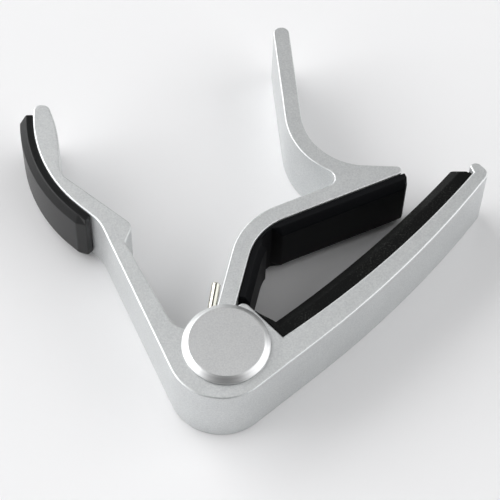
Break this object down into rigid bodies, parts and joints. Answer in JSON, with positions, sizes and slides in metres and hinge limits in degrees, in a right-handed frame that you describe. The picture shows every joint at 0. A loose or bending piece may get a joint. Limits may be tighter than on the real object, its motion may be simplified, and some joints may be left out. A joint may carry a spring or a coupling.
{
  "type": "guitar capo",
  "caption": "Spring-loaded trigger capo with a straight string bar, a bent neck jaw, rubber pads and a hinge that opens when the two handles are squeezed.",
  "frame": {"origin": "the hinge axis where it meets the underside that the capo lies on", "axes": "+Z along the hinge pin, out of the underside's opposite face; +X across both handles towards the string bar's tip; +Y towards the trigger's tip"},
  "size_m": [0.103, 0.0934, 0.0197],
  "materials": {
    "cast_aluminium": "fine bead-blasted and clear anodised",
    "turned_aluminium": "satin face, brighter bevel",
    "string_rubber": "matte, slightly dusty",
    "neck_rubber": "matte",
    "grip_rubber": "matte",
    "spring_steel": "bright plated wire",
    "pin_steel": "turned",
    "nylon": "natural",
    "bronze": "plain"
  },
  "bodies": {
    "frame": {"string_frame": "cast_aluminium", "string_pad": "string_rubber", "grip_pad": "grip_rubber", "spring_sleeve": "nylon", "hinge_barrel": "pin_steel", "hinge_screw": "pin_steel", "upper_cap": "turned_aluminium", "lower_cap": "turned_aluminium", "upper_thrust_washer": "bronze", "lower_thrust_washer": "bronze"},
    "jaw": {"neck_jaw": "cast_aluminium", "neck_pad": "neck_rubber", "torsion_spring": "spring_steel"}
  },
  "joints": [
    {"name": "jaw_hinge", "type": "hinge", "parent": "frame", "child": "jaw", "pos_m": [0, 0, 0], "axis": [0, 0, 1], "range_deg": [0, 38], "stiffness_Nm_per_rad": 0.5, "springref_deg": -34.38, "deforming": ["torsion_spring"]}
  ]
}
